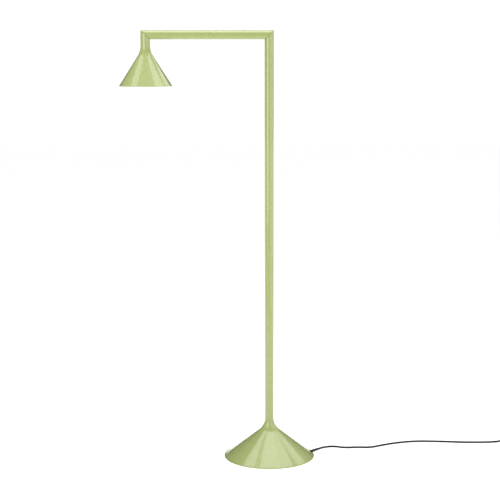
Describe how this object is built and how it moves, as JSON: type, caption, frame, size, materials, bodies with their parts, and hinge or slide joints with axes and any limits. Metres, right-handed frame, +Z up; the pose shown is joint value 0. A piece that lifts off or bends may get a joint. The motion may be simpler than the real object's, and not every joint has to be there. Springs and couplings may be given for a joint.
{
  "type": "adjustable arm floor lamp",
  "caption": "Floor lamp with a conical weighted base, a round post, a level arm and a small conical shade; both mitred corners turn. Lead with foot switch and plug.",
  "frame": {"origin": "centre of the base's underside, on the floor", "axes": "+Z up along the post, -X along the arm from the post to the shade, -Y towards a viewer who has the shade on the left"},
  "size_m": [1.4349, 0.288, 1.35],
  "materials": {
    "painted_green": "satin, very light yellow-green",
    "black_rubber": "matt",
    "pad_rubber": "matt",
    "plate_steel": "black powder coat",
    "iron": "as cast",
    "steel": "zinc plated",
    "aluminium": "natural",
    "cup_white": "matt white",
    "opal": "opal, lets light through",
    "board": "white solder mask",
    "chips": "yellow phosphor",
    "case_grey": "light grey",
    "board_green": "green solder mask",
    "bearing_plastic": "natural acetal",
    "wire_white": "sheath",
    "black_plastic": "fine matt",
    "brass": "plain"
  },
  "bodies": {
    "stand": {"base_cone": "painted_green", "post": "painted_green", "post_end_plate": "plate_steel", "floor_pad": "pad_rubber", "bottom_plate": "plate_steel", "base_weight": "iron", "plate_screws": "steel", "weight_screws": "steel", "post_spigot": "steel", "driver_case": "case_grey", "driver_board": "board_green", "driver_screws": "steel", "base_lead": "black_rubber", "cord_clamp": "black_plastic", "clamp_screws": "steel", "cord_boot": "black_rubber", "arm_pivot": "steel", "arm_friction_washer": "bearing_plastic", "arm_spring_washer": "steel", "arm_pivot_nut": "steel", "arm_stop_pin": "steel", "post_wire": "wire_white", "lead_to_switch": "black_rubber", "lead_to_coil": "black_rubber", "lead_to_plug": "black_rubber", "lead_coil": "black_rubber", "coil_tie": "black_plastic", "switch_base": "black_plastic", "switch_cover": "black_plastic", "switch_module": "black_plastic", "switch_screws": "steel", "switch_boots": "black_rubber", "plug_body": "black_plastic", "plug_pins": "brass"},
    "arm": {"arm_tube": "painted_green", "arm_inner_plate": "plate_steel", "arm_outer_plate": "plate_steel", "arm_wire": "wire_white", "head_pivot": "steel", "head_friction_washer": "bearing_plastic", "head_stop_pin": "steel", "head_spring_washer": "steel", "head_pivot_nut": "steel"},
    "head": {"head_tube": "painted_green", "head_end_plate": "plate_steel", "shade": "painted_green", "neck_bush": "aluminium", "head_rod": "steel", "rod_nuts": "steel", "heat_sink": "aluminium", "led_board": "board", "led_chips": "chips", "reflector": "cup_white", "cup_screws": "steel", "diffuser": "opal", "diffuser_ring": "cup_white", "head_wire": "wire_white"},
    "switch_key": {"switch_button": "black_plastic"}
  },
  "joints": [
    {"name": "arm_swivel", "type": "hinge", "parent": "stand", "child": "arm", "pos_m": [0, 0, 1.336], "axis": [-0.7071, 0, 0.7071], "range_deg": [-170, 170]},
    {"name": "head_swivel", "type": "hinge", "parent": "arm", "child": "head", "pos_m": [-0.38, 0, 1.336], "axis": [-0.7071, 0, -0.7071], "range_deg": [-170, 170]},
    {"name": "switch_press", "type": "slide", "parent": "stand", "child": "switch_key", "axis": [0, 0, -1], "range_m": [0, 0.0022], "stiffness_N_per_m": 500, "springref_m": -0.002}
  ]
}
